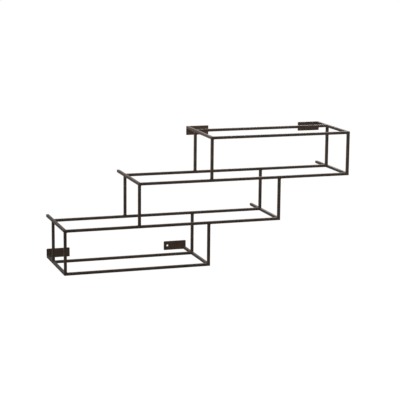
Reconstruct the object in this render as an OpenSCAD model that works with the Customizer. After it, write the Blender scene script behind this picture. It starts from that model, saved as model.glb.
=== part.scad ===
// Wall-hung wine rack: three open tiers of welded square bar that step up to the right.
// The origin is midway between the two upper screw holes, on the wall plane.
// +X runs along the wall to the right, +Y runs into the wall and +Z is up.

/* [Bar] */
// Side of the square steel bar that the whole frame is cut from
bar = 6.35; // [4:0.05:8]
// Radius of the bar's four long edges
edge_r = 0.4; // [0.2:0.1:1]

/* [Tiers] */
// Outside width of one tier, which takes up to four bottles lying side by side
tier_w = 355.6; // [300:0.1:460]
// Sideways step from each tier to the one above it
tier_step = 177.8; // [100:0.1:240]
// Height from one level of rails to the next, centre to centre
level_pitch = 101.6; // [90:0.1:130]
// Depth from the front rails to the rear rails, centre to centre
rail_gap = 127; // [90:0.5:160]
// Distance from the wall to the centre of the front rails
reach = 190.5; // [180:0.5:260]

/* [Wall plates] */
// Length of a wall plate along the wall
plate_w = 57.15; // [40:0.05:80]
// Height of a wall plate
plate_h = 22.225; // [16:0.005:40]
// Thickness of a wall plate
plate_t = 3.175; // [2:0.005:5]
// Radius of a wall plate's corners
plate_corner_r = 1.5; // [0.5:0.5:4]

/* [Screw holes] */
// Distance from a plate's inner end to the middle of its screw hole
hole_inset = 9.525; // [8:0.005:20]
// Diameter of the hole for the wall screw
screw_d = 4.5; // [3:0.5:6]
// Depth of the 90 degree countersink for the screw's head
sink_depth = 1.6; // [0.8:0.1:1.8]

/* [Welds] */
// Leg of the fillet welds in the corners between the bars
weld_leg = 1.5; // [0.8:0.1:2]

/* [Hidden] */
LEVELS = ["bottom", "lower", "upper", "top"];
TIERS = ["low", "middle", "high"];
SIDES = ["left", "right"];
ROWS = ["front", "rear"];
PLATED = [0, 3];

bronze = "#3d312a";
weld_bronze = "#5a4a40";
half = bar / 2;
last_tier = len(TIERS) - 1;
last_level = len(LEVELS) - 1;
row_y = [-reach, rail_gap - reach];
top_z = plate_h / 2 - half;
bead_run = bar - 2 * edge_r;
overcut = 1;
$fn = 48;

function rail_name(row, level) = str(row, "_rail_", level);
function arm_name(level, side) = str("wall_arm_", level, "_", side);
function post_name(tier, side, row) = str("post_", tier, "_tier_", row, "_", side);
function plate_name(level, side) = str("wall_plate_", level, "_", side);
function welds_name(level) = str("weld_beads_", level, "_level");

// A side is 0 on the left and 1 on the right, and its direction is -1 or 1
function outward(side) = 2 * side - 1;
// Height of a level's bar centres, counted from the bottom level, 0, to the top level, 3
function level_z(level) = top_z - (last_level - level) * level_pitch;
// Middle of a tier along the wall, counted from the low tier, 0, to the high tier, 2
function tier_x(tier) = (tier - last_tier) * tier_step;
// Centre of a tier's posts on one side
function post_x(tier, side) = tier_x(tier) + outward(side) * (tier_w - bar) / 2;
// The tier whose corner ends a level on one side: a level's rails span the tiers above and below it
function end_tier(level, side) = side == 0 ? max(level - 1, 0) : min(level, last_tier);
function end_x(level, side) = post_x(end_tier(level, side), side);
function has_plate(level) = level == PLATED[0] || level == PLATED[1];

// Cross-section of the bar: a square with rounded edges
module bar_section() {
    square([bar, bar - 2 * edge_r], center = true);
    square([bar - 2 * edge_r, bar], center = true);
    for (x = [-1, 1], y = [-1, 1])
        translate([x, y] * (half - edge_r)) circle(r = edge_r);
}

module bar_along_x(from_x, to_x)
    translate([from_x, 0, 0]) rotate([90, 0, 90]) linear_extrude(to_x - from_x) bar_section();

module bar_along_y(from_y, to_y)
    translate([0, to_y, 0]) rotate([90, 0, 0]) linear_extrude(to_y - from_y) bar_section();

module bar_along_z(from_z, to_z)
    translate([0, 0, from_z]) linear_extrude(to_z - from_z) bar_section();

// Front rail: one bar over the full width of the tiers that share the level
module front_rail(level)
    color(bronze) translate([0, row_y[0], level_z(level)])
        bar_along_x(end_x(level, 0) - half, end_x(level, 1) + half);

// Rear rail: one bar that butts between the inner sides of the two wall arms
module rear_rail(level)
    color(bronze) translate([0, row_y[1], level_z(level)])
        bar_along_x(end_x(level, 0) + half, end_x(level, 1) - half);

// Wall arm: runs back from the front rail, past the rear rail, to its plate or to the wall
module wall_arm(level, side)
    color(bronze) translate([end_x(level, side), 0, level_z(level)])
        bar_along_y(row_y[0] + half, has_plate(level) ? -plate_t : 0);

// Post: stands between the bars of two levels
module post(tier, side, row)
    color(bronze) translate([post_x(tier, side), row_y[row], 0])
        bar_along_z(level_z(tier) + half, level_z(tier + 1) - half);

// Outline of a wall plate
module plate_outline() {
    square([plate_w, plate_h - 2 * plate_corner_r], center = true);
    square([plate_w - 2 * plate_corner_r, plate_h], center = true);
    for (x = [-1, 1], y = [-1, 1])
        translate([x * (plate_w / 2 - plate_corner_r), y * (plate_h / 2 - plate_corner_r)])
            circle(r = plate_corner_r);
}

// Screw hole through a plate that lies on z = 0, with its countersink at the plate's front
module screw_hole() {
    translate([0, 0, -overcut]) cylinder(d = screw_d, h = plate_t + 2 * overcut);
    translate([0, 0, plate_t - sink_depth])
        cylinder(d1 = screw_d, d2 = screw_d + 2 * (sink_depth + overcut), h = sink_depth + overcut);
}

// Wall plate: flush with the end arm's outer side, and with the level's outer face
module wall_plate(level, side) {
    middle_x = end_x(level, side) + outward(side) * (half - plate_w / 2);
    middle_z = level == 0 ? level_z(0) - half + plate_h / 2 : 0;
    color(bronze) translate([middle_x, 0, middle_z]) rotate([90, 0, 0]) difference() {
        linear_extrude(plate_t) plate_outline();
        translate([-outward(side) * (plate_w / 2 - hole_inset), 0, 0]) screw_hole();
    }
}

// Fillet weld with a quarter-round section, which fills the quadrant (a, b) beside its corner line
module bead(a, b)
    linear_extrude(bead_run, center = true) intersection() {
        circle(r = weld_leg);
        translate([a, b] * weld_leg / 2) square(weld_leg, center = true);
    }

module bead_along_x(y, z) rotate([90, 0, 90]) bead(y, z);
module bead_along_y(x, z) rotate([90, 0, 0]) bead(x, z);
module bead_along_z(x, y) bead(x, y);

// Welds on a wall arm's inner side: to the front rail, to the rear rail and to the plate
module arm_welds(level, side) {
    inward = -outward(side);
    translate([end_x(level, side) + inward * half, 0, level_z(level)]) {
        translate([0, row_y[0] + half, 0]) bead_along_z(inward, 1);
        for (y = [-1, 1])
            translate([0, row_y[1] + y * half, 0]) bead_along_z(inward, y);
        if (has_plate(level))
            translate([0, -plate_t, 0]) bead_along_z(inward, -1);
    }
}

// Weld between a wall plate and the arm's face that looks towards the middle of the plate
module plate_weld(level, side) {
    up = level == 0 ? 1 : -1;
    translate([end_x(level, side), -plate_t, level_z(level) + up * half]) bead_along_x(-1, up);
}

// Welds around one end of a post; up is 1 where the post stands on the level, -1 where it hangs
module post_welds(level, tier, side, row, up) {
    out = outward(side);
    at_arm = tier == end_tier(level, side);
    translate([post_x(tier, side), row_y[row], level_z(level) + up * half]) {
        for (x = at_arm ? [-out] : [-1, 1])
            translate([x * half, 0, 0]) bead_along_y(x, up);
        if (at_arm)
            for (y = row == 0 ? [1] : [-1, 1])
                translate([0, y * half, 0]) bead_along_x(y, up);
    }
}

// All the welds that touch one level's rails and arms
module weld_beads(level)
    color(weld_bronze) for (side = [0, 1]) {
        arm_welds(level, side);
        if (has_plate(level))
            plate_weld(level, side);
        for (row = [0, 1]) {
            if (level <= last_tier)
                post_welds(level, level, side, row, 1);
            if (level > 0)
                post_welds(level, level - 1, side, row, -1);
        }
    }

for (level = [0 : last_level]) {
    front_rail(level);
    rear_rail(level);
    weld_beads(level);
    for (side = [0, 1])
        wall_arm(level, side);
}
for (tier = [0 : last_tier], side = [0, 1], row = [0, 1])
    post(tier, side, row);
for (level = PLATED, side = [0, 1])
    wall_plate(level, side);
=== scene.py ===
"""Looks for the wall-hung wine rack: detailed bars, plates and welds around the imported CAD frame.

Lengths are in metres in the frame's axes: +X to the right, +Y into the wall, +Z up.
"""

import math
from collections import namedtuple

import bmesh
import bpy
from mathutils import Matrix, Vector


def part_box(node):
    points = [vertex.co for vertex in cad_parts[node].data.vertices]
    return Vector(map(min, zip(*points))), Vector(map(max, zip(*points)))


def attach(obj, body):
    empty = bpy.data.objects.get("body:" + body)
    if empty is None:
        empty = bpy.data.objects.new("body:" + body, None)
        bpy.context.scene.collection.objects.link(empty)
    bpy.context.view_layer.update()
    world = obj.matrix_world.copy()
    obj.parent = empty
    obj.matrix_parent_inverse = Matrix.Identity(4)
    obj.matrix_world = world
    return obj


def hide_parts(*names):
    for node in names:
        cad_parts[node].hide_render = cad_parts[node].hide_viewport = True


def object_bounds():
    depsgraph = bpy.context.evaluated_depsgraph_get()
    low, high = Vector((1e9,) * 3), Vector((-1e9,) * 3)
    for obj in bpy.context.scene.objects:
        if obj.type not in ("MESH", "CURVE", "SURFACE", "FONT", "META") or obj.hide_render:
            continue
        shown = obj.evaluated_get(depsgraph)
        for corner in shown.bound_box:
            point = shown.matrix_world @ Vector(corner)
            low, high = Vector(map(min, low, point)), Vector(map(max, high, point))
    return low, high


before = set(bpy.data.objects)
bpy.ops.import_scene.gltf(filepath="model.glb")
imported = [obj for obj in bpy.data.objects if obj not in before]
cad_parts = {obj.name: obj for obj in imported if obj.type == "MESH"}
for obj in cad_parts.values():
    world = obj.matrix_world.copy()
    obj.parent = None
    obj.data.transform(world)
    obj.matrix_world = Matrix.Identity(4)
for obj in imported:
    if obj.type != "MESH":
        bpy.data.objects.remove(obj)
cad_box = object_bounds()

MM = 0.001

# Camera
CAMERA_PLACE = Vector((-1.2268, -3.2466, 0.4788))
CAMERA_YAW = math.radians(-18.51)
CAMERA_PITCH = math.radians(-10.853)
CAMERA_ROLL = math.radians(-0.51)
CAMERA_LENS_MM = 124.88
CAMERA_REACH = 200
SENSOR_MM = 36

# Edges of bars and plates
EDGE_STEPS = 4
WORN_BAND = 0.35 * MM  # how far the wear of an edge fades onto the flat beside it
LEAST_EDGE_WEAR = 0.4  # wear where a rounded edge meets the flat, with 1 at its middle

# Bars
EDGE_R = 0.4 * MM
END_CHAMFER = 0.15 * MM
STATION_GAP = 12 * MM
JOINT_SINK = 0.015 * MM  # keeps a joined end's faces just inside those of its neighbour
JOINT_BLEND = 6 * MM  # how far the darker, unworn coat of a joint reaches along the bar
JOINT_STEPS = 4

# Plates
PLATE_CORNER_R = 1.5 * MM
PLATE_EDGE_R = 0.35 * MM
CORNER_STEPS = 6
BACK_WEAR = 0.5
HOLE_STEPS = 48
HOLE_R = 2.25 * MM
HOLE_INSET = 9.525 * MM
SINK_DEPTH = 1.6 * MM
MOUTH_WEAR = 0.8
SINK_WEAR = 0.6
RIM_BREAK = 0.15 * MM  # how far the sharp rims of the hole are broken

# Weld beads
MERGE_GAP = 0.001 * MM
POINT_GAP = 0.02 * MM
BEAD_STEPS_ALONG = 52
BEAD_STEPS_ROUND = 8
BEAD_CROWN = 0.15
BEAD_LEG_GAIN = 1.12
BEAD_TIP = 0.22  # size of a bead's tip as a share of its middle
BEAD_TIP_POWER = 5  # higher is a fuller bead with blunter tips
BEAD_WANDER = 0.05
WANDER_ALONG = 5
WANDER_PHASE = 11
PHASE_STEP = 0.37
RIPPLE_PITCH = 0.8 * MM
RIPPLE_HEIGHT = 0.11 * MM
RIPPLE_BOW = 0.4
RIPPLE_SHARPNESS = 0.6
RIPPLE_AT_TOES = 0.3  # ripple height at a bead's toes as a share of that on its crown
RIPPLE_WEAR_FROM = 0.5
CORNER_OVERRUN = 0.95 * MM  # where beads meet in a corner they run into each other
OPEN_OVERRUN = 0.2 * MM
CORNER_REACH = 1.0 * MM
WELD_SINK = 0.05 * MM

# Coat: scales are in repeats per metre
COAT_SPECULAR = 0.1
COAT_ROUGHNESS = 0.6
SMOOTHER, ROUGHER = 0.09, 0.11
BLOTCH_SCALE, BLOTCH_DETAIL, BLOTCH_ROUGHNESS = 45, 6, 0.65
SPECKLE_SCALE, SPECKLE_DETAIL, SPECKLE_SHARE = 1500, 4, 0.45
LINE_SCALE, LINE_DETAIL, LINE_SHARE = (25, 1600, 1), 4, 0.6
JOINT_SHADE = -0.12
TONE_DARK, TONE_LIGHT = 0.5, 0.95
RUB_SCALE, RUB_DETAIL = 160, 5
RUB_NONE, RUB_FULL = 0.42, 0.68
BUMP_STRENGTH = 0.55
BUMP_HEIGHT = 0.05 * MM
# The dark and the light colour that the blotches run between, and the colour of the rubbed edges
COATS = {
    "bar": ((0.0095, 0.0060, 0.0038), (0.022, 0.0137, 0.0088), (0.040, 0.0220, 0.0135)),
    "plate": ((0.0095, 0.0058, 0.0036), (0.028, 0.0165, 0.0102), (0.040, 0.0220, 0.0135)),
    "weld": ((0.0095, 0.0062, 0.0040), (0.021, 0.0136, 0.0090), (0.036, 0.0210, 0.0135)),
}

# Studio
WORLD_STRENGTH = 1.05
FLOOR_DROP = 1.2
FLOOR_REACH = 60
FLOOR_GREY = 0.96
LIGHT_TARGET = Vector((-0.1, -0.1, -0.05))
LIGHTS = {
    "key_left": dict(place=(-0.48, -0.12, 0.34), size=0.35, watts=11),
    "rim_right": dict(place=(0.5, 0.9, 0.4), size=0.5, watts=10),
    "fill_front": dict(place=(0.4, -0.8, 0.45), size=0.5, watts=8),
}


def material_nodes(name):
    """A new node material with its tree and its shader."""
    material = bpy.data.materials.new(name)
    material.use_nodes = True
    tree = material.node_tree
    return material, tree, tree.nodes["Principled BSDF"]


def link(tree, a, output, b, socket):
    tree.links.new(a.outputs[output], b.inputs[socket])


def add_noise(tree, source, output, scale, detail, roughness=0.5):
    noise = tree.nodes.new("ShaderNodeTexNoise")
    noise.inputs["Scale"].default_value = scale
    noise.inputs["Detail"].default_value = detail
    noise.inputs["Roughness"].default_value = roughness
    link(tree, source, output, noise, "Vector")
    return noise


def add_attribute(tree, name):
    attribute = tree.nodes.new("ShaderNodeAttribute")
    attribute.attribute_name = name
    return attribute


def add_scaled(tree, source, factor, base, base_output="Fac"):
    """The source's factor times a number, added to another node's value."""
    total = tree.nodes.new("ShaderNodeMath")
    total.operation = "MULTIPLY_ADD"
    total.inputs[1].default_value = factor
    link(tree, source, "Fac", total, 0)
    link(tree, base, base_output, total, 2)
    return total


def add_range(tree, source, **limits):
    """The source's factor, mapped between limits such as to_min."""
    mapped = tree.nodes.new("ShaderNodeMapRange")
    for limit, value in limits.items():
        mapped.inputs[limit.replace("_", " ").title()].default_value = value
    link(tree, source, "Fac", mapped, "Value")
    return mapped


def bronze(name, dark, light, worn):
    """Satin dark bronze coat: blotches, fine speckle, draw lines along the bar and rubbed edges."""
    material, tree, shader = material_nodes(name)
    nodes = tree.nodes

    place = nodes.new("ShaderNodeTexCoord")
    blotch = add_noise(tree, place, "Object", BLOTCH_SCALE, BLOTCH_DETAIL, BLOTCH_ROUGHNESS)
    speckle = add_noise(tree, place, "Object", SPECKLE_SCALE, SPECKLE_DETAIL)
    rub = add_noise(tree, place, "Object", RUB_SCALE, RUB_DETAIL)
    along = nodes.new("ShaderNodeUVMap")
    along.uv_map = "UVMap"
    stretch = nodes.new("ShaderNodeMapping")
    stretch.inputs["Scale"].default_value = LINE_SCALE
    link(tree, along, "UV", stretch, "Vector")
    lines = add_noise(tree, stretch, "Vector", 1, LINE_DETAIL)

    # Ground and coated joints are a little darker than the bar
    tone = add_scaled(tree, speckle, SPECKLE_SHARE, blotch)
    shade = add_scaled(tree, add_attribute(tree, "joint"), JOINT_SHADE, tone, "Value")
    ramp = nodes.new("ShaderNodeValToRGB")
    ramp.color_ramp.elements[0].position = TONE_DARK
    ramp.color_ramp.elements[0].color = (*dark, 1)
    ramp.color_ramp.elements[1].position = TONE_LIGHT
    ramp.color_ramp.elements[1].color = (*light, 1)
    link(tree, shade, "Value", ramp, "Fac")

    wear = nodes.new("ShaderNodeMath")
    wear.operation = "MULTIPLY"
    link(tree, add_attribute(tree, "worn"), "Fac", wear, 0)
    link(tree, add_range(tree, rub, from_min=RUB_NONE, from_max=RUB_FULL), "Result", wear, 1)
    colour = nodes.new("ShaderNodeMixRGB")
    colour.inputs["Color2"].default_value = (*worn, 1)
    link(tree, wear, "Value", colour, "Fac")
    link(tree, ramp, "Color", colour, "Color1")
    link(tree, colour, "Color", shader, "Base Color")

    sheen = add_range(tree, blotch, to_min=COAT_ROUGHNESS - SMOOTHER, to_max=COAT_ROUGHNESS + ROUGHER)
    link(tree, sheen, "Result", shader, "Roughness")
    bump = nodes.new("ShaderNodeBump")
    bump.inputs["Strength"].default_value = BUMP_STRENGTH
    bump.inputs["Distance"].default_value = BUMP_HEIGHT
    link(tree, add_scaled(tree, lines, LINE_SHARE, speckle), "Value", bump, "Height")
    link(tree, bump, "Normal", shader, "Normal")

    shader.inputs["Metallic"].default_value = 0.0
    shader.inputs["Specular IOR Level"].default_value = COAT_SPECULAR
    return material


def skin(bm, rings):
    """Smooth faces between neighbouring rings of points, as (face, ring's number, point's number)."""
    made = []
    count = len(rings[0])
    for row, (ring_a, ring_b) in enumerate(zip(rings, rings[1:])):
        for i in range(count):
            j = (i + 1) % count
            face = bm.faces.new((ring_a[i], ring_a[j], ring_b[j], ring_b[i]))
            face.smooth = True
            made.append((face, row, i))
    return made


def finished_mesh(bm, name):
    mesh = bpy.data.meshes.new(name)
    bm.to_mesh(mesh)
    bm.free()
    return mesh


def bar_section(half):
    """Outline of the square bar as (a, b, wear) points, counterclockwise, with rounded edges."""
    points = []
    flat = half - EDGE_R
    inner = flat - WORN_BAND
    for corner in range(4):
        turn = Matrix.Rotation(corner * math.pi / 2, 2)
        points.append((*(turn @ Vector((half, inner))), 0.0))
        for step in range(EDGE_STEPS + 1):
            angle = step / EDGE_STEPS * math.pi / 2
            spot = Vector((flat + EDGE_R * math.cos(angle), flat + EDGE_R * math.sin(angle)))
            wear = math.sin(2 * angle) * (1 - LEAST_EDGE_WEAR) + LEAST_EDGE_WEAR
            points.append((*(turn @ spot), wear))
        points.append((*(turn @ Vector((inner, half))), 0.0))
    return points


# One ring of points along a bar: its place, how far it is drawn in, how much it belongs to a joint, and
# the least wear of its points
Station = namedtuple("Station", "place inset joint wear", defaults=(0.0, 0.0, 0.0))


def end_stations(end, inward, joined):
    """Stations inward from a bar's end: a free end is chamfered, a joined one starts in its neighbour."""
    if not joined:
        return [Station(end, inset=END_CHAMFER, wear=1.0)]
    stations = [Station(end - inward * EDGE_R, JOINT_SINK, 1.0)]
    for step in range(JOINT_STEPS):
        place = end + inward * JOINT_BLEND * step / JOINT_STEPS
        inset = JOINT_SINK if step == 0 else 0.0
        stations.append(Station(place, inset, 1 - step / JOINT_STEPS))
    return stations


def bar_stations(start, end, start_joined, end_joined):
    """All the stations of a bar, evenly spaced between its two ends."""
    plain_start = start + (JOINT_BLEND if start_joined else END_CHAMFER)
    plain_end = end - (JOINT_BLEND if end_joined else END_CHAMFER)
    spans = max(1, round((plain_end - plain_start) / STATION_GAP))
    plain = [Station(plain_start + (plain_end - plain_start) * i / spans) for i in range(spans + 1)]
    return end_stations(start, 1, start_joined) + plain + end_stations(end, -1, end_joined)[::-1]


def bar_mesh(name, lo, hi, start_joined, end_joined):
    """A bar with rounded edges, from its box."""
    size = hi - lo
    along = max(range(3), key=lambda i: size[i])
    across = [(along + 1) % 3, (along + 2) % 3]
    middle = (lo + hi) / 2
    half = size[across[0]] / 2
    section = bar_section(half)
    stations = bar_stations(lo[along], hi[along], start_joined, end_joined)

    bm = bmesh.new()
    worn = bm.verts.layers.float.new("worn")
    joint = bm.verts.layers.float.new("joint")
    uv = bm.loops.layers.uv.new("UVMap")
    rings = []
    for station in stations:
        ring = []
        shrink = 1 - station.inset / half
        for a, b, wear in section:
            point = Vector()
            point[along] = station.place
            point[across[0]] = middle[across[0]] + a * shrink
            point[across[1]] = middle[across[1]] + b * shrink
            vert = bm.verts.new(point)
            vert[worn] = max(station.wear, wear * (1 - station.joint))
            vert[joint] = station.joint
            ring.append(vert)
        rings.append(ring)
    count = len(section)
    girth = 8 * half
    for face, row, i in skin(bm, rings):
        spots = ((row, i), (row, i + 1), (row + 1, i + 1), (row + 1, i))
        for loop, (station, point) in zip(face.loops, spots):
            loop[uv].uv = (stations[station].place, point / count * girth)
    for ring in (list(reversed(rings[0])), rings[-1]):
        cap = bm.faces.new(ring)
        for loop in cap.loops:
            loop[uv].uv = (loop.vert.co[across[0]], loop.vert.co[across[1]])
    bm.normal_update()
    return finished_mesh(bm, name)


def rounded_outline(width, height, radius, hole):
    """(point, outward normal) pairs around a rounded rectangle, spread evenly as seen from the hole."""
    corner = Vector((width / 2 - radius, height / 2 - radius))
    pairs = []
    for quarter in range(4):
        centre_x = corner.x if quarter in (0, 3) else -corner.x
        centre_y = corner.y if quarter < 2 else -corner.y
        for step in range(CORNER_STEPS + 1):
            angle = (quarter + step / CORNER_STEPS) * math.pi / 2
            normal = Vector((math.cos(angle), math.sin(angle)))
            pairs.append((Vector((centre_x, centre_y)) + radius * normal, normal))
    for step in range(HOLE_STEPS):
        angle = (step + 0.5) / HOLE_STEPS * math.tau
        ray = Vector((math.cos(angle), math.sin(angle)))
        side_x = math.copysign(1, ray.x)
        side_y = math.copysign(1, ray.y)
        reach_x = (side_x * width / 2 - hole.x) / ray.x
        reach_y = (side_y * height / 2 - hole.y) / ray.y
        spot = hole + min(reach_x, reach_y) * ray
        if reach_x < reach_y and abs(spot.y) < corner.y:
            pairs.append((spot, Vector((side_x, 0))))
        if reach_y < reach_x and abs(spot.x) < corner.x:
            pairs.append((spot, Vector((0, side_y))))
    return sorted(pairs, key=lambda pair: math.atan2(pair[0].y - hole.y, pair[0].x - hole.x))


def plate_profile(thick):
    """(distance from the wall, inset of the outline, wear): wall side, then the rounded front edge."""
    profile = [(0.0, PLATE_EDGE_R / 2, BACK_WEAR), (PLATE_EDGE_R / 2, 0.0, BACK_WEAR)]
    for step in range(EDGE_STEPS + 1):
        angle = step / EDGE_STEPS * math.pi / 2
        depth = thick - PLATE_EDGE_R * (1 - math.sin(angle))
        profile.append((depth, PLATE_EDGE_R * (1 - math.cos(angle)), 1.0))
    profile.append((thick, PLATE_EDGE_R + WORN_BAND, 0.0))
    return profile


def hole_profile(thick):
    """(distance from the wall, radius, wear): from the front face down the countersink to the wall side."""
    mouth_r = HOLE_R + SINK_DEPTH
    return [
        (thick, mouth_r + WORN_BAND, 0.0),
        (thick, mouth_r + RIM_BREAK, MOUTH_WEAR),
        (thick - RIM_BREAK, mouth_r - RIM_BREAK / 2, 1.0),
        (thick - SINK_DEPTH, HOLE_R, SINK_WEAR),
        (RIM_BREAK, HOLE_R, 0.0),
        (0.0, HOLE_R + RIM_BREAK, SINK_WEAR),
    ]


def plate_mesh(name, lo, hi, inward):
    """A wall plate with softened edges and an open countersunk screw hole near its inner end."""
    middle = (lo + hi) / 2
    size = hi - lo
    hole = Vector((inward * (size.x / 2 - HOLE_INSET), 0.0))
    outline = rounded_outline(size.x, size.z, PLATE_CORNER_R, hole)

    bm = bmesh.new()
    worn = bm.verts.layers.float.new("worn")
    uv = bm.loops.layers.uv.new("UVMap")

    def add_ring(spots, depth, wear):
        ring = [bm.verts.new((middle.x + spot.x, hi.y - depth, middle.z + spot.y)) for spot in spots]
        for vert in ring:
            vert[worn] = wear
        rings.append(ring)

    rings = []
    for depth, inset, wear in plate_profile(size.y):
        add_ring([spot - inset * normal for spot, normal in outline], depth, wear)
    for depth, radius, wear in hole_profile(size.y):
        add_ring([hole + radius * (spot - hole).normalized() for spot, _ in outline], depth, wear)
    rings.append(rings[0])
    for face, _, _ in skin(bm, rings):
        for loop in face.loops:
            loop[uv].uv = (loop.vert.co.x, loop.vert.co.z)
    bmesh.ops.recalc_face_normals(bm, faces=bm.faces)
    return finished_mesh(bm, name)


def islands(node):
    """The separate solids of a CAD node, each as a list of points."""
    bm = bmesh.new()
    bm.from_mesh(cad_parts[node].data)
    bmesh.ops.remove_doubles(bm, verts=bm.verts, dist=MERGE_GAP)
    left = set(bm.verts)
    found = []
    for start in bm.verts:
        if start not in left:
            continue
        left.discard(start)
        group = []
        waiting = [start]
        while waiting:
            vert = waiting.pop()
            group.append(vert.co.copy())
            for edge in vert.link_edges:
                other = edge.other_vert(vert)
                if other in left:
                    left.discard(other)
                    waiting.append(other)
        found.append(group)
    bm.free()
    return found


# A quarter-round weld solid: one end of its corner line, the axis along it, the two axes across it with
# the direction of each, its length and its leg
Bead = namedtuple("Bead", "root along a sign_a b sign_b length leg")


def read_bead(points):
    """The bead that one weld solid's points describe: its round side leaves one corner of its box empty."""
    lo = Vector([min(p[i] for p in points) for i in range(3)])
    hi = Vector([max(p[i] for p in points) for i in range(3)])
    size = hi - lo
    along = max(range(3), key=lambda i: size[i])
    a, b = [i for i in range(3) if i != along]
    for sign_a in (-1, 1):
        for sign_b in (-1, 1):
            far_a = hi[a] if sign_a > 0 else lo[a]
            far_b = hi[b] if sign_b > 0 else lo[b]
            if not any(abs(p[a] - far_a) < POINT_GAP and abs(p[b] - far_b) < POINT_GAP for p in points):
                root = lo.copy()
                root[a] = lo[a] if sign_a > 0 else hi[a]
                root[b] = lo[b] if sign_b > 0 else hi[b]
                return Bead(root, along, a, sign_a, b, sign_b, size[along], size[a])
    raise ValueError("this solid has no quarter-round section")


def bead_ends(bead):
    """First and last point of a bead's corner line."""
    last = bead.root.copy()
    last[bead.along] += bead.length
    return bead.root, last


def bead_ring(bead, place, swell, phase):
    """(point, wear) pairs around a bead's section: over its rippled crown, and last the corner below it."""
    ring = []
    for step in range(BEAD_STEPS_ROUND + 1):
        angle = step / BEAD_STEPS_ROUND * math.pi / 2
        crescent = math.sin(2 * angle)
        wave = (place / RIPPLE_PITCH - RIPPLE_BOW * crescent + phase) % 1.0
        height = RIPPLE_HEIGHT * (RIPPLE_AT_TOES + (1 - RIPPLE_AT_TOES) * crescent)
        lift = height * (wave ** RIPPLE_SHARPNESS - 1.0)
        chord = bead.leg / (math.cos(angle) + math.sin(angle))
        radius = (chord * (1 + BEAD_CROWN * crescent) + lift) * swell
        point = bead.root.copy()
        point[bead.along] += place
        point[bead.a] += bead.sign_a * (radius * math.cos(angle) - WELD_SINK)
        point[bead.b] += bead.sign_b * (radius * math.sin(angle) - WELD_SINK)
        ring.append((point, max(0.0, wave - RIPPLE_WEAR_FROM) * crescent))
    corner = bead.root.copy()
    corner[bead.along] += place
    corner[bead.a] -= bead.sign_a * WELD_SINK
    corner[bead.b] -= bead.sign_b * WELD_SINK
    ring.append((corner, 0.0))
    return ring


def add_bead(bm, worn, uv, bead, run_in, run_out, phase):
    """One fillet bead: a low crown with overlapping ripples, tapered at its ends and closed at its root."""
    run = bead.length + run_in + run_out
    rings = []
    for i in range(BEAD_STEPS_ALONG + 1):
        t = i / BEAD_STEPS_ALONG
        fullness = max(0.0, 1 - abs(2 * t - 1) ** BEAD_TIP_POWER) ** 0.5
        wander = 1 + BEAD_WANDER * math.sin(WANDER_ALONG * t + WANDER_PHASE * phase)
        swell = (BEAD_TIP + (1 - BEAD_TIP) * fullness) * (BEAD_LEG_GAIN * wander)
        ring = []
        for point, wear in bead_ring(bead, t * run - run_in, swell, phase):
            vert = bm.verts.new(point)
            vert[worn] = wear
            ring.append(vert)
        rings.append(ring)
    faces = [face for face, _, _ in skin(bm, rings)]
    faces += [bm.faces.new(rings[0]), bm.faces.new(rings[-1])]
    for face in faces:
        face.smooth = True
        for loop in face.loops:
            place = loop.vert.co
            loop[uv].uv = (place[bead.along], place[bead.a] + place[bead.b])


def weld_mesh(name, node):
    """All the beads of one level's weld node."""
    bm = bmesh.new()
    worn = bm.verts.layers.float.new("worn")
    uv = bm.loops.layers.uv.new("UVMap")
    beads = [read_bead(points) for points in islands(node)]
    ends = [bead_ends(bead) for bead in beads]
    for index, bead in enumerate(beads):
        others = [spot for other, pair in enumerate(ends) if other != index for spot in pair]
        overruns = []
        for spot in ends[index]:
            in_corner = any((spot - other).length < CORNER_REACH for other in others)
            overruns.append(CORNER_OVERRUN if in_corner else OPEN_OVERRUN)
        add_bead(bm, worn, uv, bead, *overruns, index * PHASE_STEP)
    bmesh.ops.recalc_face_normals(bm, faces=bm.faces)
    return finished_mesh(bm, name)


def detailed_mesh(name, node):
    """The kind of coat and the mesh of the piece that stands for one CAD node."""
    lo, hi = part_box(node)
    if node.startswith("weld_beads"):
        return "weld", weld_mesh(name, node)
    if node.startswith("wall_plate"):
        inward = 1 if node.endswith("left") else -1
        return "plate", plate_mesh(name, lo, hi, inward)
    # An arm's rear end is joined only where it has a plate, and a front rail's ends are both free
    start_joined = not node.startswith("front_rail")
    end_joined = start_joined and not node.startswith(("wall_arm_lower", "wall_arm_upper"))
    return "bar", bar_mesh(name, lo, hi, start_joined, end_joined)


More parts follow.
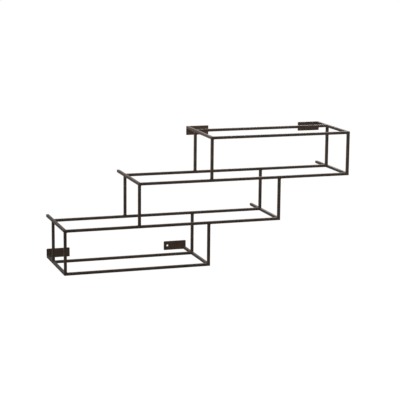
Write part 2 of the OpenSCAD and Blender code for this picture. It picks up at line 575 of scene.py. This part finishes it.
def make_pieces():
    """One visible piece for each CAD node, which it replaces."""
    coats = {kind: bronze(kind + "_bronze", *colours) for kind, colours in COATS.items()}
    for node in sorted(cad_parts):
        name = node + "_detail"
        kind, mesh = detailed_mesh(name, node)
        piece = bpy.data.objects.new(name, mesh)
        bpy.context.scene.collection.objects.link(piece)
        mesh.materials.append(coats[kind])
        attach(piece, "root")
        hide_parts(node)


def make_floor():
    """A wide pale floor well below the rack."""
    mesh = bpy.data.meshes.new("floor")
    z = cad_box[0].z - FLOOR_DROP
    corners = [(x * FLOOR_REACH, y * FLOOR_REACH, z) for x, y in ((-1, -1), (1, -1), (1, 1), (-1, 1))]
    mesh.from_pydata(corners, [], [(0, 1, 2, 3)])
    floor = bpy.data.objects.new("floor", mesh)
    bpy.context.scene.collection.objects.link(floor)
    material, _, shader = material_nodes("pale_floor")
    shader.inputs["Base Color"].default_value = (FLOOR_GREY, FLOOR_GREY, FLOOR_GREY, 1)
    shader.inputs["Roughness"].default_value = 1.0
    shader.inputs["Specular IOR Level"].default_value = 0.0
    mesh.materials.append(material)


def make_light(name, place, size, watts):
    data = bpy.data.lights.new(name, "AREA")
    data.size = size
    data.energy = watts
    light = bpy.data.objects.new(name, data)
    light.location = place
    light.rotation_euler = (LIGHT_TARGET - Vector(place)).to_track_quat("-Z", "Y").to_euler()
    bpy.context.scene.collection.objects.link(light)


def make_studio():
    """A white world and the soft lights."""
    world = bpy.data.worlds.new("studio")
    bpy.context.scene.world = world
    world.use_nodes = True
    background = world.node_tree.nodes["Background"]
    background.inputs["Color"].default_value = (1, 1, 1, 1)
    background.inputs["Strength"].default_value = WORLD_STRENGTH
    for name, settings in LIGHTS.items():
        make_light(name, **settings)


def make_camera():
    data = bpy.data.cameras.new("camera")
    data.sensor_width = SENSOR_MM
    data.lens = CAMERA_LENS_MM
    data.clip_end = CAMERA_REACH
    camera = bpy.data.objects.new("camera", data)
    turn = Matrix.Rotation(CAMERA_YAW, 4, "Z") @ Matrix.Rotation(CAMERA_PITCH + math.pi / 2, 4, "X")
    camera.matrix_world = Matrix.Translation(CAMERA_PLACE) @ turn @ Matrix.Rotation(-CAMERA_ROLL, 4, "Z")
    bpy.context.scene.collection.objects.link(camera)
    bpy.context.scene.camera = camera


make_pieces()
make_floor()
make_studio()
make_camera()
bpy.context.scene.view_settings.view_transform = "Standard"
